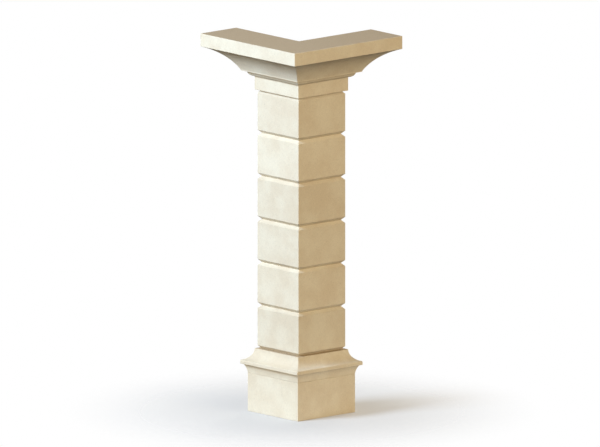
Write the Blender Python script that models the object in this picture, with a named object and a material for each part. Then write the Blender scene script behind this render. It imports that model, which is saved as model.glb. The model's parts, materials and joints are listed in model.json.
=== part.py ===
"""A corner quoin of cast stone: plinth, base moulding, V-jointed blocks, neck band and cornice.

Each stone is one L-shaped casting that wraps the corner of a building. Both arms are equally
long, and each stone's profile is returned round the free ends of its arms, back to the wall.
Metres, +Z up. The origin is at ground level, straight below the blocks' outer corner. One face
of the quoin looks along -Y and the other along +X, and the wall stands behind them.
"""

import math

import bmesh
import bpy

# The L in plan. A course stands proud of the block faces by its own amount, on faces and ends.
FACE_WIDTH = 0.450
STONE_DEPTH = 0.052

# Bed joint between two stones, and the rounding of their arrises.
BED_GAP = 0.0003
ARRIS_RADIUS = 0.0025
ARRIS_SEGMENTS = 2

# Plinth.
PLINTH_HEIGHT = 0.282
PLINTH_PROUD = 0.050

# Base moulding, from the bed up: a shallow cavetto, a nosed lip and a sweep up to the blocks.
CAVETTO_HEIGHT = 0.066
CAVETTO_PROUD = 0.074
CAVETTO_SAG = 0.0045
LIP_HEIGHT = 0.028
LIP_PROUD = 0.089
LIP_NOSE_RADIUS = 0.010
SWEEP_HEIGHT = 0.086
BASE_TOP_PROUD = 0.015

# Blocks, with a chamfer round each bed that makes the V joints.
BLOCK_COUNT = 6
BLOCK_HEIGHT = 0.3165
CHAMFER_RISE = 0.022
CHAMFER_DEPTH = 0.022

# Neck band.
NECK_HEIGHT = 0.099
NECK_PROUD = 0.015

# Cornice, from the bed up: a quarter round, a flat soffit, a small fillet, a cove and a fascia.
OVOLO_RADIUS = 0.040
SOFFIT_WIDTH = 0.032
FILLET_HEIGHT = 0.006
COVE_HEIGHT = 0.166
COVE_SAG = 0.0256
FASCIA_PROUD = 0.292
FASCIA_HEIGHT = 0.095

# Straight pieces that each curve is divided into.
CAVETTO_STEPS = 5
NOSE_STEPS = 4
SWEEP_STEPS = 12
OVOLO_STEPS = 8
COVE_STEPS = 16

# An edge that turns by more than the first angle is an arris, and is rounded. One that turns by
# less than the second, once the arrises are rounded, is shaded smooth.
ARRIS_ANGLE = math.radians(28)
SMOOTH_ANGLE = math.radians(50)

# Light buff cast stone. Each casting differs a little in tone from those above and below it.
STONE_COLOUR = (0.70, 0.61, 0.46)
STONE_ROUGHNESS = 0.88
COURSE_TONES = (0.98, 1.00, 0.99, 1.02)


def clear_scene():
    for obj in list(bpy.data.objects):
        bpy.data.objects.remove(obj, do_unlink=True)


def arc_through(start, end, sag, steps):
    """Points from start to end on an arc that bows by sag to the right of the way it goes."""
    chord = math.dist(start, end)
    radius = (chord * chord / 4 + sag * sag) / (2 * sag)
    along = ((end[0] - start[0]) / chord, (end[1] - start[1]) / chord)
    right = (along[1], -along[0])
    middle = ((start[0] + end[0]) / 2, (start[1] + end[1]) / 2)
    centre = [middle[i] - right[i] * (radius - sag) for i in range(2)]
    half_angle = math.asin(chord / 2 / radius)
    points = []
    for step in range(steps + 1):
        angle = half_angle * (2 * step / steps - 1)
        points.append(
            tuple(
                centre[i] + radius * (right[i] * math.cos(angle) + along[i] * math.sin(angle))
                for i in range(2)
            )
        )
    return points


def arc_about(centre, radius, first_angle, last_angle, steps):
    """Points on an arc about centre. An angle of 0 points away from the wall, 90 degrees up."""
    turn = (last_angle - first_angle) / steps
    return [
        (
            centre[0] + radius * math.cos(first_angle + turn * step),
            centre[1] + radius * math.sin(first_angle + turn * step),
        )
        for step in range(steps + 1)
    ]


def plinth_profile():
    return [(PLINTH_PROUD, 0), (PLINTH_PROUD, PLINTH_HEIGHT)]


def lip_and_sweep(lip_top, top):
    """The lip's rounded nose and the hollow sweep above it, which ends upright at the top.

    The sweep is an arc that is upright at (BASE_TOP_PROUD, top) and would meet the lip's face
    at lip_top. The nose is a round tangent to the lip's face and to the sweep.
    """
    reach = LIP_PROUD - BASE_TOP_PROUD
    rise = top - lip_top
    sweep_radius = (reach * reach + rise * rise) / (2 * reach)
    centre = (BASE_TOP_PROUD + sweep_radius, top)
    nose_proud = LIP_PROUD - LIP_NOSE_RADIUS
    across = centre[0] - nose_proud
    between = sweep_radius + LIP_NOSE_RADIUS
    nose_centre = (nose_proud, top - math.sqrt(between * between - across * across))
    tangent = math.atan2(centre[1] - nose_centre[1], across)
    nose = arc_about(nose_centre, LIP_NOSE_RADIUS, 0, tangent, NOSE_STEPS)
    sweep = arc_about(centre, sweep_radius, math.pi + tangent, math.pi, SWEEP_STEPS)
    return nose + sweep[1:]


def base_profile():
    lip_bed = CAVETTO_HEIGHT
    lip_top = lip_bed + LIP_HEIGHT
    top = lip_top + SWEEP_HEIGHT
    cavetto = arc_through((CAVETTO_PROUD, lip_bed), (PLINTH_PROUD, 0), CAVETTO_SAG, CAVETTO_STEPS)
    cavetto.reverse()
    return cavetto + [(LIP_PROUD, lip_bed)] + lip_and_sweep(lip_top, top)


def block_profile():
    return [
        (-CHAMFER_DEPTH, 0),
        (0, CHAMFER_RISE),
        (0, BLOCK_HEIGHT - CHAMFER_RISE),
        (-CHAMFER_DEPTH, BLOCK_HEIGHT),
    ]


def neck_profile():
    return [(NECK_PROUD, 0), (NECK_PROUD, NECK_HEIGHT)]


def cornice_profile():
    ovolo = arc_about((NECK_PROUD, OVOLO_RADIUS), OVOLO_RADIUS, -math.pi / 2, 0, OVOLO_STEPS)
    soffit_edge = NECK_PROUD + OVOLO_RADIUS + SOFFIT_WIDTH
    cove_foot = OVOLO_RADIUS + FILLET_HEIGHT
    cove_head = cove_foot + COVE_HEIGHT
    cove = arc_through((FASCIA_PROUD, cove_head), (soffit_edge, cove_foot), COVE_SAG, COVE_STEPS)
    cove.reverse()
    return (
        ovolo
        + [(soffit_edge, OVOLO_RADIUS)]
        + cove
        + [(FASCIA_PROUD, cove_head + FASCIA_HEIGHT)]
    )


def plan_corners(proud):
    """The L's corners in plan, anticlockwise seen from above, starting at one arm's free end."""
    end = FACE_WIDTH + proud
    return [
        (-end, -proud),
        (proud, -proud),
        (proud, end),
        (-STONE_DEPTH, end),
        (-STONE_DEPTH, STONE_DEPTH),
        (-end, STONE_DEPTH),
    ]


def stone_mesh(name, profile):
    """A closed L-shaped stone: one ring of the L for each point of its profile, and flat beds."""
    mesh = bpy.data.meshes.new(name)
    bm = bmesh.new()
    rings = [
        [bm.verts.new((x, y, height)) for x, y in plan_corners(proud)]
        for proud, height in profile
    ]
    for lower, upper in zip(rings, rings[1:]):
        for near in range(len(lower)):
            far = (near + 1) % len(lower)
            bm.faces.new((lower[near], lower[far], upper[far], upper[near]))
    for ring, faces_up in ((rings[0], False), (rings[-1], True)):
        for arm in ((0, 1, 4, 5), (1, 2, 3, 4)):
            corners = [ring[index] for index in arm]
            bm.faces.new(corners if faces_up else reversed(corners))
    bm.to_mesh(mesh)
    bm.free()
    return mesh


def stone_material(name, tone):
    material = bpy.data.materials.new(name)
    material.use_nodes = True
    shader = material.node_tree.nodes["Principled BSDF"]
    shader.inputs["Base Color"].default_value = (*(tone * part for part in STONE_COLOUR), 1)
    shader.inputs["Roughness"].default_value = STONE_ROUGHNESS
    shader.inputs["Metallic"].default_value = 0
    return material


def lay_stone(name, profile, bed_height, tone):
    """Adds a stone on its bed and returns the height of its top."""
    stone = bpy.data.objects.new(name, stone_mesh(name, profile))
    bpy.context.scene.collection.objects.link(stone)
    stone.location.z = bed_height
    stone.data.materials.append(stone_material(f"{name}_cast_stone", tone))
    rounding = stone.modifiers.new("arrises", "BEVEL")
    rounding.limit_method = "ANGLE"
    rounding.angle_limit = ARRIS_ANGLE
    rounding.width = ARRIS_RADIUS
    rounding.segments = ARRIS_SEGMENTS
    stone.data.shade_smooth()
    stone.data.set_sharp_from_angle(angle=SMOOTH_ANGLE)
    return bed_height + profile[-1][1]


def build():
    clear_scene()
    courses = [("plinth", plinth_profile()), ("base_moulding", base_profile())]
    courses += [(f"quoin_block_{number + 1}", block_profile()) for number in range(BLOCK_COUNT)]
    courses += [("neck_band", neck_profile()), ("cornice", cornice_profile())]
    bed_height = 0
    for index, (name, profile) in enumerate(courses):
        tone = COURSE_TONES[index % len(COURSE_TONES)]
        bed_height = lay_stone(name, profile, bed_height, tone) + BED_GAP


build()
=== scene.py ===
"""Dresses the corner quoin: fine cast-stone castings, a pale floor, studio light and the camera.

Every stone of the quoin is one L-shaped casting round the corner of a building. Here each one is
built again as a close mesh with eased arrises, a faint unevenness on its faces, a raked back and
floated beds, over the solid that stands for it in the frame. The beds' colour holds painted shade:
it is darker and warmer so that the cornice's top, the bed that shows, looks less lit. Metres, +Z
up.
"""

import json
import math

import bpy
import numpy as np
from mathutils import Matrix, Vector, noise


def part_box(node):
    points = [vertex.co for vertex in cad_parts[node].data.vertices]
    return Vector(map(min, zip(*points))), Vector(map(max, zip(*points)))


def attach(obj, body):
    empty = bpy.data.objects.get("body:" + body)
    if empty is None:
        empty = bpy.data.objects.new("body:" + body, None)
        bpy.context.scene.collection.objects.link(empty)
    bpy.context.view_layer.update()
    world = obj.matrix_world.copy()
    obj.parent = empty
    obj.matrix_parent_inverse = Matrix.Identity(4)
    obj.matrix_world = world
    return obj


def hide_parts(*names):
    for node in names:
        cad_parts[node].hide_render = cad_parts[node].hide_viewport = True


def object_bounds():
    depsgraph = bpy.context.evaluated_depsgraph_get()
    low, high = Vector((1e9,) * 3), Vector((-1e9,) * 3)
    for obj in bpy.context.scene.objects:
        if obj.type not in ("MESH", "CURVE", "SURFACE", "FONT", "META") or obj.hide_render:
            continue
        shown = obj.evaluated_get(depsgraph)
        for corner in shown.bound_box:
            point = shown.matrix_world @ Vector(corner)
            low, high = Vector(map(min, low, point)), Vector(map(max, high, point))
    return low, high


bl_info = {
    "name": "Cast Stone Corner Quoin",
    "version": (1, 0, 0),
    "blender": (4, 5, 0),
    "location": "3D View > Sidebar > Quoin",
    "description": "Builds the castings of a corner quoin, their stone finish and a studio",
    "category": "Object",
}

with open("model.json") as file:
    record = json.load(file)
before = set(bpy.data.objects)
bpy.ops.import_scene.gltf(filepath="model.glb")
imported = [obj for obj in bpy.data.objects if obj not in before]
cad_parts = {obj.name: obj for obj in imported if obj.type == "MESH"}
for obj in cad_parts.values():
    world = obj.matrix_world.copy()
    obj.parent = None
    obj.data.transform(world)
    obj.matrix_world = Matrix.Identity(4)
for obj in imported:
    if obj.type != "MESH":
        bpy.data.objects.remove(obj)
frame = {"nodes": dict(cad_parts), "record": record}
SOLID_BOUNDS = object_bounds()

# The stones from the ground up, and the two sizes of the L in plan.
COURSES = sorted(frame["nodes"], key=lambda node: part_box(node)[0].z)
BLOCKS = [node for node in COURSES if node.startswith("quoin_block")]
FACE_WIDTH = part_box(BLOCKS[0])[1].y
STONE_DEPTH = next(
    mount["pos_m"][1] for mount in frame["record"]["mounts"] if mount["name"] == "front_arm_back"
)
BODY = "root"

# An edge of a profile that turns by more than this is an arris and is eased.
ARRIS_TURN = math.radians(28)
# Straight pieces in the rounding of one arris. In plan half of them go to each side.
ARRIS_STEPS = 4
# Straight pieces in the lip's nose, the fewest in any other curve, and how many of them there
# are to each square of the mesh grid.
NOSE_STEPS = 8
FEWEST_STEPS = 6
STEPS_PER_SQUARE = 2
# At this weight of the shading modifier the wide faces alone set the normals.
WIDE_FACES_ALONE = 100

# Rows that lie level on a face, as on a soffit, are at least this far apart at the back's inner
# corner, and come together towards its free ends.
ROW_GAP = 0.001
# What a back has beyond the faint unevenness grows from nothing at a bed to its full depth this
# far from it. From the middle of the arris at a free end it does so in three to five points.
BACK_FADE = 0.02

# Wavelengths along X, Y and Z of the faint unevenness all over a casting, and of what is added
# to it on the backs and on the beds.
FACE_WAVES = ((0.11, 0.11, 0.11),)
BACK_WAVES = ((0.16, 0.16, 0.03), (0.05, 0.05, 0.04))
BED_WAVES = ((0.09, 0.09, 0.09),)

# The stone's patterns are turned away from the faces, so that no face cuts them square. They
# move on by the step from one casting to the next, and its tone moves on along a sine.
PATTERN_TURN = (0.6, 0.4, 0.9)
PATTERN_STEP = 1.7
TONE_TURN = 2.4
# How fine the noise of each pattern is, and how rough where that isn't the usual half.
CLOUD_NOISE = {"detail": 1}
MOTTLE_NOISE = {"detail": 4, "roughness": 0.6}
SPECKLE_NOISE = {"detail": 3, "roughness": 0.6}
SAND_NOISE = {"detail": 3, "roughness": 0.65}
GRAIN_NOISE = {"detail": 2}
CLOD_NOISE = {"detail": 4, "roughness": 0.65}
RAKE_NOISE = {"detail": 3, "roughness": 0.6}
DUST_NOISE = {"detail": 3}
# The mottle's share in the soft patches, with the clouds as the rest, and the middle range of
# the two together that holds the patches' edges.
MOTTLE_SHARE = 0.7
PATCH_EDGE = (0.35, 0.65)
# A cell of sand whose random number is high is a dark fleck, and one whose number is low is a
# pale fleck. A fleck fades out between these distances from its middle, counted in cells.
DARK_FLECK_PICK = (0.90, 0.92)
PALE_FLECK_PICK = (0.08, 0.10)
FLECK_EDGE = (0.25, 0.45)
# The higher this power, the fewer of the air holes are large.
HOLE_RARITY = 4

# Numbers of the Mix node's sockets for colours: the two it blends, and its output.
MIX_FIRST = 6
MIX_SECOND = 7
MIX_RESULT = 2

# The studio: a round floor just under the stone, and where the light of the walls gives way to
# that of the ceiling and of the floor, as the upward or downward share of a direction.
FLOOR_SIDES = 96
FLOOR_GAP = 0.0005
WALLS_TO_CEILING = (0.1, 0.8)
WALLS_TO_FLOOR = (0.0, 0.12)
# Each soft light: its azimuth in degrees, where 0 is in front of the face that looks along -Y
# and 90 in front of the other, its height above a point half way up the quoin and the side of
# its square. All stand at the one distance from the blocks' outer corner, measured level.
LIGHT_PLACES = {
    "key": {"azimuth": -14, "height": 6.3, "side": 3.2},
    "fill": {"azimuth": 96, "height": 4.2, "side": 4.5},
    "back": {"azimuth": 205, "height": 0.5, "side": 4.5},
}
LIGHT_DISTANCE = 10

# The photograph, in its own pixels: its width, the width of a block's face seen straight on,
# and how far the ground below the blocks' outer corner is right of and below the middle.
PHOTO_WIDTH = 600
FACE_WIDTH_IN_PHOTO = 62.35
FOOT_FROM_MIDDLE = (-1.5, 196.35)
VIEW_AZIMUTH = math.radians(48.78)
VIEW_ELEVATION = math.radians(10.89)
CAMERA_DISTANCE = 12


def length(name, default, description):
    """A size in metres that a user may change."""
    return bpy.props.FloatProperty(
        name=name, description=description, default=default, min=0, unit="LENGTH", precision=4
    )


def share(name, default, description):
    """A part of a whole, from 0 to 1."""
    return bpy.props.FloatProperty(
        name=name, description=description, default=default, min=0, max=1, subtype="FACTOR"
    )


def colour(name, default, description):
    """A colour in linear red, green and blue."""
    return bpy.props.FloatVectorProperty(
        name=name, description=description, default=default, min=0, size=3, subtype="COLOR"
    )


def watts(name, default, description):
    """The power of a light."""
    return bpy.props.FloatProperty(
        name=name, description=description, default=default, min=0, subtype="POWER"
    )


class QuoinProfile(bpy.types.PropertyGroup):
    """The profile sizes that the boxes of the frame's solids don't give."""

    cavetto_height: length("Cavetto height", 0.066, "From the plinth up to the lip")
    cavetto_proud: length("Cavetto reach", 0.074, "How far the cavetto's head stands proud")
    cavetto_sag: length("Cavetto sag", 0.0045, "How deep the cavetto is hollowed")
    lip_height: length("Lip height", 0.028, "Upright face of the lip over the cavetto")
    lip_nose_radius: length("Lip nose", 0.010, "Rounding of the lip's upper edge")
    base_top_proud: length("Base top reach", 0.015, "Where the sweep ends, below the blocks")
    chamfer_rise: length("Chamfer rise", 0.022, "Height of the chamfer at a block's bed")
    chamfer_depth: length("Chamfer depth", 0.022, "Depth of the V joint from the faces")
    ovolo_radius: length("Ovolo radius", 0.040, "Quarter round under the cornice")
    soffit_width: length("Soffit width", 0.032, "Flat ledge outside the quarter round")
    fillet_height: length("Fillet height", 0.006, "Small upright step under the cove")
    cove_sag: length("Cove sag", 0.0256, "How deep the cove is hollowed")
    fascia_height: length("Fascia height", 0.095, "Upright face at the cornice's top")
    arris_radius: length("Arris radius", 0.0025, "Rounding of every arris")
    grid: length("Mesh grid", 0.010, "Largest spacing of a casting's vertices")


class StoneFinish(bpy.types.PropertyGroup):
    """Colours, patterns and relief of the cast stone."""

    pale: colour("Pale buff", (0.73, 0.655, 0.505), "Colour of the paler patches")
    warm: colour("Warm buff", (0.67, 0.575, 0.425), "Colour of the warmer patches")
    raked: colour("Raked back", (0.54, 0.475, 0.365), "Colour of the raked backs")
    # The bed colour is partly the beds' own and partly painted shade: darker and warmer so that
    # the cornice's top, the one bed that shows, looks less lit.
    floated_bed_and_painted_shade: colour("Floated bed", (0.49, 0.375, 0.24), "Colour of the floated beds")
    tone_step: share("Tone step", 0.02, "How much two castings differ in tone")
    roughness: share("Roughness", 0.88, "Roughness of the stone")
    gloss: share("Gloss", 0.35, "Strength of its faint reflections")

    cloud_size: length("Cloud size", 0.80, "Size of the widest, faintest patches")
    mottle_size: length("Mottle size", 0.16, "Size of the soft patches")
    speckle_size: length("Speckle size", 0.0133, "Size of the small patches in the sand")
    sand_size: length("Sand size", 0.006, "Size of the coarse sand")
    grain_size: length("Grain size", 0.0012, "Size of the sand grains")
    fleck_spacing: length("Fleck spacing", 0.0048, "Size of the cells that may hold a fleck")
    hole_spacing: length("Air hole spacing", 0.028, "Size of the cells that hold an air hole")
    pinhole_radius: length("Pinhole", 0.00034, "Radius of the smallest air holes")
    hole_radius: length("Largest air hole", 0.0026, "Radius of the largest air holes")
    hole_edge: length("Air hole edge", 0.00047, "Width of an air hole's soft edge")
    clod_size: length("Clod size", 0.012, "Size of the lumps in the backs and beds")
    rake_length: length("Rake length", 0.07, "Length of a rake mark on the backs")
    rake_width: length("Rake width", 0.006, "Width of a rake mark on the backs")

    speckle_contrast: share("Speckle contrast", 0.16, "How far the speckle shades the stone")
    sand_contrast: share("Sand contrast", 0.18, "How far the coarse sand shades the stone")
    grain_contrast: share("Grain contrast", 0.16, "How far the grains shade the stone")
    grain_dullness: share("Grain dullness", 0.12, "How far the grains change the roughness")
    dark_fleck: share("Dark flecks", 0.22, "How much darker the dark flecks are")
    pale_fleck: share("Pale flecks", 0.10, "How much paler the pale flecks are")
    # The air holes get painted shade: their colour is darkened where shade would fall in the pits.
    hole_painted_shade: share("Air hole shade", 0.45, "How much darker the air holes are")
    rake_contrast: share("Rake contrast", 0.18, "How far the rake marks shade the backs")
    clod_contrast: share("Clod contrast", 0.32, "How far the lumps shade the backs")

    grain_depth: length("Grain depth", 0.00015, "Relief of the sand grains")
    sand_depth: length("Sand depth", 0.00045, "Relief of the coarse sand")
    hole_depth: length("Air hole depth", 0.0012, "Depth of the air holes")
    rake_depth: length("Rake depth", 0.0012, "Relief of the rake marks on the backs")
    clod_depth: length("Clod depth", 0.0022, "Relief of the lumps on the backs")
    float_depth: length("Float depth", 0.0006, "Relief of the lumps on the beds")
    face_relief: length("Face unevenness", 0.00025, "Faint unevenness all over")
    back_relief: length("Back unevenness", 0.0018, "Added to it on the backs")
    bed_relief: length("Bed unevenness", 0.0005, "Added to it on the beds")


class StudioLook(bpy.types.PropertyGroup):
    """Floor, background and light."""

    floor: colour("Floor", (0.47, 0.465, 0.455), "Colour of the floor")
    floor_glow: share("Floor glow", 0.52, "How much paler the floor looks than it is lit")
    floor_roughness: share("Floor roughness", 0.9, "Roughness of the floor")
    floor_radius: length("Floor radius", 1.8, "Where the floor ends")
    floor_fade: length("Floor fade", 0.35, "Where the floor begins to melt into the background")
    dust_size: length("Dust size", 0.35, "Size of the faint patches on the floor")
    dust_contrast: share("Dust contrast", 0.03, "How far the patches shade the floor")
    background: colour("Background", (1.0, 1.0, 1.0), "Colour behind the object")
    above: colour("Light from above", (0.03, 0.025, 0.02), "Soft light from the ceiling")
    around: colour("Light from around", (1.38, 1.18, 0.87), "Soft light from the walls")
    below: colour("Light from below", (0.06, 0.05, 0.04), "Soft light from the floor")
    key_colour: colour("Key light", (0.60, 0.765, 1.0), "Colour of the light at the left")
    fill_colour: colour("Fill light", (1.0, 0.82, 0.57), "Colour of the light at the right")
    back_colour: colour("Back light", (1.0, 0.93, 0.82), "Colour of the light behind")
    key_power: watts("Key power", 2020, "Power of the key light")
    fill_power: watts("Fill power", 330, "Power of the fill light")
    back_power: watts("Back power", 420, "Power of the light behind")


def put(context, name, data):
    """Adds an object with these data to the scene."""
    made = bpy.data.objects.new(name, data)
    context.scene.collection.objects.link(made)
    return made


def arc_through(start, end, sag, steps):
    """Points from start to end on an arc that bows by sag to the left of the way it goes."""
    start, end = Vector(start), Vector(end)
    chord = (end - start).length
    radius = (chord * chord / 4 + sag * sag) / (2 * sag)
    along = (end - start) / chord
    left = Vector((-along.y, along.x))
    centre = (start + end) / 2 - left * (radius - sag)
    half_angle = math.asin(chord / 2 / radius)
    angles = [half_angle * (2 * step / steps - 1) for step in range(steps + 1)]
    return [centre + radius * (left * math.cos(a) + along * math.sin(a)) for a in angles]


def arc_about(centre, radius, first_angle, last_angle, steps):
    """Points on an arc about centre. An angle of 0 points away from the wall, 90 degrees up."""
    angles = np.linspace(first_angle, last_angle, steps + 1)
    return [Vector(centre) + radius * Vector((math.cos(a), math.sin(a))) for a in angles]


def arc_steps(arc_length, grid):
    """Enough straight pieces for a smooth curve of this length."""
    return max(FEWEST_STEPS, math.ceil(STEPS_PER_SQUARE * arc_length / grid))


def upright_profile(node):
    """A plain course: one upright face from bed to bed."""
    low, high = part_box(node)
    return [Vector((high.x, 0)), Vector((high.x, high.z - low.z))]


def base_profile(sizes):
    """Cavetto, nosed lip and a sweep that ends upright under the blocks."""
    low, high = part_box("base_moulding")
    lip_proud, top = high.x, high.z - low.z
    plinth_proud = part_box("plinth")[1].x
    head = (sizes.cavetto_proud, sizes.cavetto_height)
    cavetto_steps = arc_steps(sizes.cavetto_height, sizes.grid)
    cavetto = arc_through((plinth_proud, 0), head, sizes.cavetto_sag, cavetto_steps)

    reach = lip_proud - sizes.base_top_proud
    rise = top - sizes.cavetto_height - sizes.lip_height
    sweep_radius = (reach * reach + rise * rise) / (2 * reach)
    sweep_centre = Vector((sizes.base_top_proud + sweep_radius, top))
    nose_proud = lip_proud - sizes.lip_nose_radius
    across = sweep_centre.x - nose_proud
    between = sweep_radius + sizes.lip_nose_radius
    nose_centre = Vector((nose_proud, top - math.sqrt(between * between - across * across)))
    tangent = math.atan2(top - nose_centre.y, across)
    nose = arc_about(nose_centre, sizes.lip_nose_radius, 0, tangent, NOSE_STEPS)
    sweep_steps = arc_steps(reach + rise, sizes.grid)
    sweep = arc_about(sweep_centre, sweep_radius, math.pi + tangent, math.pi, sweep_steps)
    return cavetto + [Vector((lip_proud, sizes.cavetto_height))] + nose + sweep[1:]


def block_profile(node, sizes):
    """A block's face between the chamfers that make the V joints."""
    low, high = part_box(node)
    height = high.z - low.z
    return [
        Vector((-sizes.chamfer_depth, 0)),
        Vector((0, sizes.chamfer_rise)),
        Vector((0, height - sizes.chamfer_rise)),
        Vector((-sizes.chamfer_depth, height)),
    ]


def cornice_profile(sizes):
    """Quarter round, flat soffit, fillet, cove and fascia."""
    low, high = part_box("cornice")
    neck_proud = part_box("neck_band")[1].x
    fascia_proud, top = high.x, high.z - low.z
    radius = sizes.ovolo_radius
    ovolo_steps = arc_steps(radius * math.pi / 2, sizes.grid)
    ovolo = arc_about((neck_proud, radius), radius, -math.pi / 2, 0, ovolo_steps)
    soffit_edge = neck_proud + radius + sizes.soffit_width
    cove_foot = Vector((soffit_edge, radius + sizes.fillet_height))
    cove_head = Vector((fascia_proud, top - sizes.fascia_height))
    cove_steps = arc_steps((cove_head - cove_foot).length, sizes.grid)
    cove = arc_through(cove_foot, cove_head, sizes.cove_sag, cove_steps)
    return ovolo + [Vector((soffit_edge, radius))] + cove + [Vector((fascia_proud, top))]


def eased(points, radius):
    """The outline with every arris rounded. Its two ends stay where they are."""
    out = [points[0]]
    for before, corner, after in zip(points, points[1:], points[2:]):
        back, onward = before - corner, after - corner
        turn = math.pi - back.angle(onward)
        if turn < ARRIS_TURN:
            out.append(corner)
            continue
        reach = min(radius * math.tan(turn / 2), back.length / 2, onward.length / 2)
        round_radius = reach / math.tan(turn / 2)
        middle = (back.normalized() + onward.normalized()).normalized()
        centre = corner + middle * (round_radius / math.cos(turn / 2))
        first = corner + back.normalized() * reach - centre
        last = corner + onward.normalized() * reach - centre
        for step in range(ARRIS_STEPS + 1):
            out.append(centre + first.slerp(last, step / ARRIS_STEPS) * round_radius)
    out.append(points[-1])
    return out


def divided(points, grid):
    """The outline with points added until no two neighbours are further apart than the grid."""
    out = [points[0]]
    for start, end in zip(points, points[1:]):
        pieces = max(1, math.ceil((end - start).length / grid))
        out += [start.lerp(end, step / pieces) for step in range(1, pieces + 1)]
    return out


def casting_rows(profile, sizes):
    """Rows of a casting from bed to bed, as four arrays: how far each stands proud, its height on
    the face, its height at the inner corner of the back, where no two rows are level, and how far
    the back is drawn in by the rounding of the bed's edge."""
    radius = sizes.arris_radius
    bed = Vector((FACE_WIDTH, 0))
    outline = eased([profile[0] - bed, *profile, profile[-1] - bed], radius)
    proud, height = np.array(divided(outline[1:-1], sizes.grid)).T
    top = profile[-1].y
    to_bed = np.clip(np.minimum(height, top - height), 0, radius)
    drawn_in = radius - np.sqrt(radius**2 - (radius - to_bed) ** 2)
    between = to_bed >= radius
    least = ROW_GAP * np.arange(between.sum())
    back_height = height.copy()
    back_height[between] = least + np.maximum.accumulate(height[between] - least)
    return proud, height, back_height, drawn_in


class PlanRing:
    """The L in plan as a ring of points, the same number however far a row stands proud.

    The ring starts in the middle of the arris at the front arm's free end and goes round the
    outer corner to the side arm's free end, then back along the wall.
    """

    def __init__(self, most_proud, sizes):
        self.radius = sizes.arris_radius
        self.long = math.ceil((FACE_WIDTH + 2 * most_proud) / sizes.grid)
        self.short = math.ceil((STONE_DEPTH + most_proud) / sizes.grid)
        self.outer = 2 * self.long + 2 * ARRIS_STEPS
        self.end = self.short + ARRIS_STEPS
        self.size = 2 * (self.outer + self.end)

    def points(self, proud, drawn_in):
        """The ring of a row that stands this far proud, its back drawn in by so much."""
        reach = FACE_WIDTH + proud
        wall = STONE_DEPTH - drawn_in
        corners = [
            Vector(corner)
            for corner in (
                (-reach, -proud),
                (proud, -proud),
                (proud, reach),
                (-wall, reach),
                (-wall, wall),
                (-reach, wall),
            )
        ]
        sides = (self.long, self.long, self.short, self.long, self.long, self.short)
        ring = []
        for index, corner in enumerate(corners):
            following = corners[(index + 1) % len(corners)]
            arriving = (corner - corners[index - 1]).normalized()
            leaving = (following - corner).normalized()
            centre = corner + (leaving - arriving) * self.radius
            for step in range(ARRIS_STEPS + 1):
                angle = step / ARRIS_STEPS * math.pi / 2
                out = arriving * math.sin(angle) - leaving * math.cos(angle)
                ring.append(centre + out * self.radius)
            start, end = ring[-1], following - leaving * self.radius
            ring += [start.lerp(end, step / sides[index]) for step in range(1, sides[index])]
        half = ARRIS_STEPS // 2
        return np.array(ring[half:] + ring[:half])

    def on_back(self):
        """1 at the points that face the wall, 0 at the others."""
        back = np.zeros(self.size)
        back[self.outer + self.end + 1 : 2 * self.outer + self.end] = 1
        return back

    def inner_corner(self):
        """1 at the inner corner of the back, falling evenly to 0 at the arrises on either hand."""
        middle = self.outer + self.end + self.outer / 2
        return np.clip(1 - abs(np.arange(self.size) - middle) / (self.outer / 2), 0, 1)

    def back_arrises(self):
        """1 at the arrises between the back and the free ends, and a point beyond; else 0."""
        places = np.arange(self.size)
        reach = ARRIS_STEPS // 2 + 1
        first, last = self.outer + self.end, 2 * self.outer + self.end
        return ((abs(places - first) <= reach) | (abs(places - last) <= reach)).astype(float)

    def bed(self, ring):
        """A grid of points that fills the ring, from its outer side across to the wall side."""
        outer = ring[: self.outer + 1]
        wall = ring[self.outer + self.end : 2 * self.outer + self.end + 1][::-1]
        last = ring[self.outer : self.outer + self.end + 1]
        first = np.concatenate([ring[:1], ring[: 2 * self.outer + self.end - 1 : -1]])
        u = np.linspace(0, 1, self.outer + 1)[:, None, None]
        v = np.linspace(0, 1, self.end + 1)[None, :, None]
        across = outer[:, None] * (1 - v) + wall[:, None] * v
        along = first[None] * (1 - u) + last[None] * u
        corners = (outer[0] * (1 - v) + wall[0] * v) * (1 - u)
        corners = corners + (outer[-1] * (1 - v) + wall[-1] * v) * u
        return across + along - corners

    def bed_indices(self, ring_start, inner_start):
        """The vertex number of each point of the bed's grid: its rim is shared with the ring."""
        index = np.empty((self.outer + 1, self.end + 1), int)
        inner = (self.outer - 1) * (self.end - 1)
        index[1:-1, 1:-1] = inner_start + np.arange(inner).reshape(self.outer - 1, -1)
        ring = ring_start + np.arange(self.size + 1) % self.size
        wall_start = self.outer + self.end
        index[:, 0] = ring[: self.outer + 1]
        index[:, -1] = ring[wall_start : wall_start + self.outer + 1][::-1]
        index[-1, :] = ring[self.outer : wall_start + 1]
        index[0, :] = ring[wall_start + self.outer :][::-1]
        return index


def quads(index, faces_up):
    """The quads of a grid of vertex numbers."""
    corners = [index[:-1, :-1], index[1:, :-1], index[1:, 1:], index[:-1, 1:]]
    found = np.stack([corner.ravel() for corner in corners], 1)
    return found if faces_up else found[:, ::-1]


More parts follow.
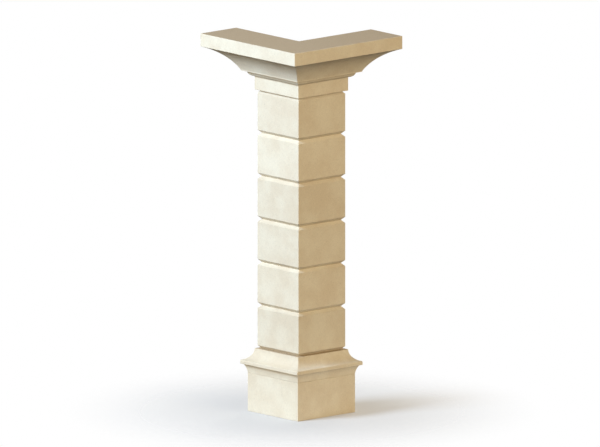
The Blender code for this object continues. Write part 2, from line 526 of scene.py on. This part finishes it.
def casting_mesh(name, profile, bed_height, sizes):
    """A closed casting, with four numbers at each vertex: is it on the back, is it on a bed, and
    the shares that it takes of the faint unevenness and of the back's."""
    proud, height, back_height, drawn_in = casting_rows(profile, sizes)
    plan = PlanRing(proud.max(), sizes)
    rings = np.array([plan.points(*row) for row in zip(proud, drawn_in)])
    heights = bed_height + height[:, None] + np.outer(back_height - height, plan.inner_corner())
    numbers = np.arange(heights.size).reshape(heights.shape)
    places = [np.dstack([rings, heights]).reshape(-1, 3)]
    faces = [quads(np.column_stack([numbers, numbers[:, 0]]), faces_up=False)]
    count = heights.size
    for row, faces_up in ((0, False), (len(rings) - 1, True)):
        inner = plan.bed(rings[row])[1:-1, 1:-1].reshape(-1, 2)
        places.append(np.column_stack([inner, np.full(len(inner), heights[row, 0])]))
        faces.append(quads(plan.bed_indices(row * plan.size, count), faces_up))
        count += len(inner)
    bed = np.zeros(count)
    bed[heights.size :] = 1
    back = np.zeros(count)
    back[: heights.size] = np.tile(plan.on_back(), len(rings))
    from_bed = np.clip(np.minimum(height, profile[-1].y - height) / BACK_FADE, 0, 1)
    from_end = np.clip(plan.inner_corner() * FACE_WIDTH / BACK_FADE, 0, 1)
    rough = np.zeros(count)
    rough[: heights.size] = np.outer(from_bed, from_end).ravel()
    faint = np.ones(count)
    faint[: heights.size] = np.tile(1 - plan.back_arrises(), len(rings))

    mesh = bpy.data.meshes.new(name)
    mesh.from_pydata(np.concatenate(places).tolist(), [], np.concatenate(faces).tolist())
    mesh.update()
    return mesh, back, bed, faint, rough


def make_uneven(mesh, bed, faint, rough, finish):
    """Presses the vertices in: nearly all faintly, and those of the back and the beds further.

    The back's further press is level, and the faint one leaves out the arrises at its free ends.
    That keeps nearly all the narrow faces there from folding over. Small creases are left there
    at the soffit and the lip, and on the lip a few faces of under 1 mm2 are turned over.
    """
    places = np.empty(len(bed) * 3)
    normals = np.empty(len(bed) * 3)
    mesh.vertices.foreach_get("co", places)
    mesh.vertex_normals.foreach_get("vector", normals)
    places, normals = places.reshape(-1, 3), normals.reshape(-1, 3)
    pressed = places.copy()
    for amount, relief, waves, ways in (
        (faint, finish.face_relief, FACE_WAVES, (1, 1, 1)),
        (rough, finish.back_relief, BACK_WAVES, (1, 1, 0)),
        (bed, finish.bed_relief, BED_WAVES, (1, 1, 1)),
    ):
        spots = amount > 0
        swell = np.zeros(np.count_nonzero(spots))
        for wavelengths in waves:
            swell += [noise.noise(Vector(place)) for place in places[spots] / wavelengths]
        depth = amount[spots] * relief * np.clip(0.5 + swell / len(waves), 0, 1)
        inward = -normals[spots] * ways
        inward /= np.linalg.norm(inward, axis=1, keepdims=True)
        pressed[spots] += inward * depth[:, None]
    mesh.vertices.foreach_set("co", pressed.ravel())
    mesh.update()


def lay_casting(context, node, profile):
    """Builds one casting over its solid, with the shared stone finish and a tone of its own."""
    if node not in COURSES:
        raise RuntimeError(f"the frame has no solid named {node}")
    sizes, finish = context.scene.quoin_profile, context.scene.stone_finish
    name = f"{node}_casting"
    bed_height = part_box(node)[0].z
    mesh, back, bed, faint, rough = casting_mesh(name, profile, bed_height, sizes)
    make_uneven(mesh, bed, faint, rough, finish)
    course = np.full(len(back), COURSES.index(node))
    for mask, values in (("back", back), ("bed", bed), ("course", course)):
        layer = mesh.attributes.new(mask, "FLOAT", "POINT")
        layer.data.foreach_set("value", values)
    mesh.shade_smooth()
    mesh.materials.append(stone_material(finish))
    casting = put(context, name, mesh)
    shading = casting.modifiers.new("even_shading", "WEIGHTED_NORMAL")
    shading.weight = WIDE_FACES_ALONE
    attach(casting, BODY)
    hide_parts(node)


class Value:
    """An output of a shader node. A sum on it adds the node that works the sum out."""

    def __init__(self, tree, socket=None):
        self.tree = tree
        self.socket = socket

    def node(self, kind, settings=None, inputs=None, output=0):
        """Adds a node: its settings first, then the values or links of its sockets."""
        made = self.tree.nodes.new(kind)
        for name, setting in (settings or {}).items():
            setattr(made, name, setting)
        for name, given in (inputs or {}).items():
            if isinstance(given, Value):
                self.tree.links.new(given.socket, made.inputs[name])
            else:
                made.inputs[name].default_value = given
        return Value(self.tree, made.outputs[output])

    def output(self, name):
        """Another output of the same node."""
        return Value(self.tree, self.socket.node.outputs[name])

    def feed(self, node, name):
        """Links this output to a socket of a node."""
        self.tree.links.new(self.socket, node.inputs[name])

    def math(self, operation, *terms):
        return self.node("ShaderNodeMath", {"operation": operation}, dict(enumerate(terms)))

    def __add__(self, other):
        return self.math("ADD", self, other)

    __radd__ = __add__

    def __sub__(self, other):
        return self.math("SUBTRACT", self, other)

    def __rsub__(self, other):
        return self.math("SUBTRACT", other, self)

    def __mul__(self, other):
        return self.math("MULTIPLY", self, other)

    __rmul__ = __mul__

    def __pow__(self, other):
        return self.math("POWER", self, other)

    def __rpow__(self, other):
        return self.math("POWER", other, self)

    def sine(self):
        return self.math("SINE", self)

    def clamped(self):
        return self.node("ShaderNodeClamp", None, {"Value": self})

    def ramp(self, low, high):
        """0 up to low, 1 from high, and smooth between."""
        settings = {"interpolation_type": "SMOOTHSTEP"}
        inputs = {"Value": self, "From Min": low, "From Max": high}
        return self.node("ShaderNodeMapRange", settings, inputs)

    def swing(self, amount):
        """A pattern from 0 to 1 as a change either way: half the amount down, half of it up."""
        return amount * (self - 0.5)

    def between(self, first, second):
        """A colour between two colours: the first at 0, the second at 1."""
        inputs = {0: self, MIX_FIRST: first, MIX_SECOND: second}
        return self.node("ShaderNodeMix", {"data_type": "RGBA"}, inputs, MIX_RESULT)

    def times(self, factor):
        """A colour or vector scaled by a value."""
        inputs = {0: self, "Scale": factor}
        return self.node("ShaderNodeVectorMath", {"operation": "SCALE"}, inputs)

    def part(self, name):
        """One channel of a colour."""
        return self.node("ShaderNodeSeparateColor", None, {"Color": self}, name)

    def moved(self, offset):
        return self.node("ShaderNodeVectorMath", {"operation": "ADD"}, {0: self, 1: offset})

    def turned(self, angles):
        inputs = {"Vector": self, "Rotation": angles}
        return self.node("ShaderNodeVectorRotate", {"rotation_type": "EULER_XYZ"}, inputs)

    def in_units(self, sizes):
        """This place counted in the sizes given along each axis."""
        inputs = {0: self, 1: sizes}
        return self.node("ShaderNodeVectorMath", {"operation": "DIVIDE"}, inputs)

    def noise(self, size, detail, roughness=0.5):
        """Soft noise over this place, with features of about the size given."""
        inputs = {"Vector": self, "Scale": 1 / size, "Detail": detail, "Roughness": roughness}
        return self.node("ShaderNodeTexNoise", None, inputs)

    def cells(self, size):
        """Distance from the nearest of a scatter of points about this far apart."""
        return self.node("ShaderNodeTexVoronoi", None, {"Vector": self, "Scale": 1 / size})

    def attribute(self, name):
        return self.node("ShaderNodeAttribute", {"attribute_name": name}, None, "Fac")


def opaque(rgb):
    """A colour with full cover."""
    return (*rgb, 1.0)


def blank_material(title):
    """A new material, its shader, and a start for the values in its tree."""
    material = bpy.data.materials.new(title)
    material.use_nodes = True
    tree = material.node_tree
    return material, tree.nodes["Principled BSDF"], Value(tree)


def flecks(place, finish):
    """Masks of the dark and of the pale flecks among the sand."""
    cells = place.cells(finish.fleck_spacing)
    pick = cells.output("Color").part("Red")
    spots = 1 - cells.ramp(*FLECK_EDGE)
    dark = spots * pick.ramp(*DARK_FLECK_PICK)
    pale = spots * (1 - pick.ramp(*PALE_FLECK_PICK))
    return dark, pale


def air_holes(place, finish):
    """Mask of the air holes: mostly pinholes, and a few larger ones."""
    spacing = finish.hole_spacing
    cells = place.cells(spacing)
    smallest, largest = finish.pinhole_radius / spacing, finish.hole_radius / spacing
    rarity = cells.output("Color").part("Green") ** HOLE_RARITY
    radius = smallest + (largest - smallest) * rarity
    return ((radius - cells) * (spacing / finish.hole_edge)).clamped()


def stone_material(finish):
    """Buff cast stone: sand grain, flecks, soft patches and small air holes; raked at the back."""
    title = "buff_cast_stone"
    if title in bpy.data.materials:
        return bpy.data.materials[title]
    material, shader, start = blank_material(title)
    back, bed, course = (start.attribute(name) for name in ("back", "bed", "course"))
    upright = start.node("ShaderNodeTexCoord", None, None, "Object")
    step = start.node("ShaderNodeCombineXYZ", None, {"X": course * PATTERN_STEP})
    place = upright.moved(step).turned(PATTERN_TURN)

    cloud = place.noise(finish.cloud_size, **CLOUD_NOISE)
    mottle = place.noise(finish.mottle_size, **MOTTLE_NOISE)
    speckle = place.noise(finish.speckle_size, **SPECKLE_NOISE)
    sand = place.noise(finish.sand_size, **SAND_NOISE)
    grain = place.noise(finish.grain_size, **GRAIN_NOISE)
    clods = place.noise(finish.clod_size, **CLOD_NOISE)
    rake = (finish.rake_length, finish.rake_length, finish.rake_width)
    rakes = upright.in_units(rake).noise(1, **RAKE_NOISE)
    dark_flecks, pale_flecks = flecks(place, finish)
    holes = air_holes(place, finish)

    patches = (MOTTLE_SHARE * mottle + (1 - MOTTLE_SHARE) * cloud).ramp(*PATCH_EDGE)
    stone = patches.between(opaque(finish.warm), opaque(finish.pale))
    # The beds take their own colour, which holds painted shade for the cornice's top.
    stone = bed.between(stone, opaque(finish.floated_bed_and_painted_shade))
    stone = back.between(stone, opaque(finish.raked))
    tone = 1 + finish.tone_step * (course * TONE_TURN).sine()
    shade = (
        1
        + speckle.swing(finish.speckle_contrast)
        + sand.swing(finish.sand_contrast)
        + grain.swing(finish.grain_contrast)
        - finish.dark_fleck * dark_flecks
        + finish.pale_fleck * pale_flecks
        # Painted shade in the air holes.
        - finish.hole_painted_shade * holes
        + back * (rakes.swing(finish.rake_contrast) + clods.swing(finish.clod_contrast))
    )
    stone.times(tone * shade).feed(shader, "Base Color")

    (finish.roughness + grain.swing(finish.grain_dullness)).feed(shader, "Roughness")
    height = (
        finish.grain_depth * grain
        + finish.sand_depth * sand
        - finish.hole_depth * holes
        + back * (finish.rake_depth * rakes + finish.clod_depth * clods)
        + bed * (finish.float_depth * clods)
    )
    # The height is in metres, so the node's own scale for it is 1.
    bump = start.node("ShaderNodeBump", None, {"Height": height, "Distance": 1.0})
    bump.feed(shader, "Normal")
    shader.inputs["Specular IOR Level"].default_value = finish.gloss
    return material


class QUOIN_OT_plinth(bpy.types.Operator):
    """Lay the plain plinth"""

    bl_idname = "quoin.plinth"
    bl_label = "Plinth"

    def execute(self, context):
        lay_casting(context, "plinth", upright_profile("plinth"))
        return {"FINISHED"}


class QUOIN_OT_base_moulding(bpy.types.Operator):
    """Lay the base moulding on the plinth"""

    bl_idname = "quoin.base_moulding"
    bl_label = "Base Moulding"

    def execute(self, context):
        lay_casting(context, "base_moulding", base_profile(context.scene.quoin_profile))
        return {"FINISHED"}


class QUOIN_OT_blocks(bpy.types.Operator):
    """Lay the blocks with their V joints"""

    bl_idname = "quoin.blocks"
    bl_label = "Blocks"

    def execute(self, context):
        for node in BLOCKS:
            lay_casting(context, node, block_profile(node, context.scene.quoin_profile))
        return {"FINISHED"}


class QUOIN_OT_neck_band(bpy.types.Operator):
    """Lay the plain band over the blocks"""

    bl_idname = "quoin.neck_band"
    bl_label = "Neck Band"

    def execute(self, context):
        lay_casting(context, "neck_band", upright_profile("neck_band"))
        return {"FINISHED"}


class QUOIN_OT_cornice(bpy.types.Operator):
    """Lay the cornice at the top"""

    bl_idname = "quoin.cornice"
    bl_label = "Cornice"

    def execute(self, context):
        lay_casting(context, "cornice", cornice_profile(context.scene.quoin_profile))
        return {"FINISHED"}


def make_floor(context, look):
    """A pale floor that melts into the background away from the quoin."""
    mesh = bpy.data.meshes.new("studio_floor")
    rim = [
        (look.floor_radius * math.cos(angle), look.floor_radius * math.sin(angle), 0)
        for angle in np.linspace(0, 2 * math.pi, FLOOR_SIDES, endpoint=False)
    ]
    mesh.from_pydata(rim, [], [range(FLOOR_SIDES)])
    floor = put(context, "studio_floor", mesh)
    floor.location = (-FACE_WIDTH / 2, FACE_WIDTH / 2, SOLID_BOUNDS[0].z - FLOOR_GAP)

    material, shader, start = blank_material("studio_floor")
    place = start.node("ShaderNodeTexCoord", None, None, "Object")
    dust = place.noise(look.dust_size, **DUST_NOISE)
    tint = start.node("ShaderNodeRGB")
    tint.socket.default_value = opaque(look.floor)
    tint.times(1 + dust.swing(look.dust_contrast)).feed(shader, "Base Color")
    from_middle = place.node("ShaderNodeVectorMath", {"operation": "LENGTH"}, {0: place}, "Value")
    (1 - from_middle.ramp(look.floor_fade, look.floor_radius)).feed(shader, "Alpha")
    # The glow only shows. If it also lit the stone, it would bleach the plinth.
    camera_ray = start.node("ShaderNodeLightPath", None, None, "Is Camera Ray")
    tint.times(camera_ray).feed(shader, "Emission Color")
    shader.inputs["Emission Strength"].default_value = look.floor_glow
    shader.inputs["Roughness"].default_value = look.floor_roughness
    mesh.materials.append(material)


def make_world(context, look):
    """Soft light that is dimmer from above and below than from around; a plain background."""
    world = bpy.data.worlds.new("studio")
    context.scene.world = world
    world.use_nodes = True
    tree = world.node_tree
    tree.nodes.clear()
    start = Value(tree)
    way = start.node("ShaderNodeTexCoord", None, None, "Generated")
    up = way.node("ShaderNodeSeparateXYZ", None, {"Vector": way}, "Z")
    sky = up.ramp(*WALLS_TO_CEILING).between(opaque(look.around), opaque(look.above))
    light = (-1 * up).ramp(*WALLS_TO_FLOOR).between(sky, opaque(look.below))
    lit = light.node("ShaderNodeBackground", None, {"Color": light})
    seen = start.node("ShaderNodeBackground", None, {"Color": opaque(look.background)})
    camera_ray = start.node("ShaderNodeLightPath", None, None, "Is Camera Ray")
    surface = start.node("ShaderNodeMixShader", None, {0: camera_ray, 1: lit, 2: seen})
    surface.feed(tree.nodes.new("ShaderNodeOutputWorld"), "Surface")


def make_softbox(context, name, look):
    """A large square light that looks at the blocks' outer corner, half way up the quoin."""
    place = LIGHT_PLACES[name]
    data = bpy.data.lights.new(f"{name}_light", "AREA")
    data.shape = "SQUARE"
    data.size = place["side"]
    data.color = getattr(look, f"{name}_colour")
    data.energy = getattr(look, f"{name}_power")
    light = put(context, f"{name}_light", data)
    low, high = SOLID_BOUNDS
    target = Vector((0, 0, (low.z + high.z) / 2))
    angle = math.radians(place["azimuth"])
    away = Vector((math.sin(angle), -math.cos(angle), 0)) * LIGHT_DISTANCE
    light.location = target + away + Vector((0, 0, place["height"]))
    light.rotation_euler = (light.location - target).to_track_quat("Z", "Y").to_euler()
    light.visible_camera = False


def make_camera(context):
    """A camera with parallel lines of sight, at the photograph's angle, scale and framing."""
    right = Vector((math.cos(VIEW_AZIMUTH), math.sin(VIEW_AZIMUTH), 0))
    level_back = Vector((math.sin(VIEW_AZIMUTH), -math.cos(VIEW_AZIMUTH), 0))
    upward = Vector((0, 0, 1))
    back = level_back * math.cos(VIEW_ELEVATION) + upward * math.sin(VIEW_ELEVATION)
    up = back.cross(right)
    pixel = FACE_WIDTH / FACE_WIDTH_IN_PHOTO
    middle = (up * FOOT_FROM_MIDDLE[1] - right * FOOT_FROM_MIDDLE[0]) * pixel
    data = bpy.data.cameras.new("photograph_view")
    data.type = "ORTHO"
    data.ortho_scale = PHOTO_WIDTH * pixel
    camera = put(context, "photograph_view", data)
    camera.location = middle + back * CAMERA_DISTANCE
    camera.rotation_euler = back.to_track_quat("Z", "Y").to_euler()
    context.scene.camera = camera


class QUOIN_OT_studio(bpy.types.Operator):
    """Set the floor, the light and the camera"""

    bl_idname = "quoin.studio"
    bl_label = "Studio"

    def execute(self, context):
        look = context.scene.studio_look
        make_floor(context, look)
        make_world(context, look)
        for name in LIGHT_PLACES:
            make_softbox(context, name, look)
        make_camera(context)
        context.scene.view_settings.view_transform = "Standard"
        return {"FINISHED"}


class QUOIN_PT_panel(bpy.types.Panel):
    """Sizes, finish and studio of the quoin, with a button for each step"""

    bl_idname = "QUOIN_PT_panel"
    bl_label = "Corner Quoin"
    bl_space_type = "VIEW_3D"
    bl_region_type = "UI"
    bl_category = "Quoin"

    def draw(self, context):
        layout = self.layout
        for operator in OPERATORS:
            layout.operator(operator.bl_idname)
        for title, group in (
            ("Profile", context.scene.quoin_profile),
            ("Finish", context.scene.stone_finish),
            ("Studio", context.scene.studio_look),
        ):
            box = layout.box()
            box.label(text=title)
            for name in group.__annotations__:
                box.prop(group, name)


GROUPS = {
    "quoin_profile": QuoinProfile,
    "stone_finish": StoneFinish,
    "studio_look": StudioLook,
}
OPERATORS = (
    QUOIN_OT_plinth,
    QUOIN_OT_base_moulding,
    QUOIN_OT_blocks,
    QUOIN_OT_neck_band,
    QUOIN_OT_cornice,
    QUOIN_OT_studio,
)
CLASSES = (*GROUPS.values(), *OPERATORS, QUOIN_PT_panel)


def register():
    for cls in CLASSES:
        bpy.utils.register_class(cls)
    for name, group in GROUPS.items():
        setattr(bpy.types.Scene, name, bpy.props.PointerProperty(type=group))


def unregister():
    for name in GROUPS:
        delattr(bpy.types.Scene, name)
    for cls in reversed(CLASSES):
        bpy.utils.unregister_class(cls)


def main():
    register()
    bpy.ops.quoin.plinth()
    bpy.ops.quoin.base_moulding()
    bpy.ops.quoin.blocks()
    bpy.ops.quoin.neck_band()
    bpy.ops.quoin.cornice()
    bpy.ops.quoin.studio()


if __name__ == "__main__":
    main()
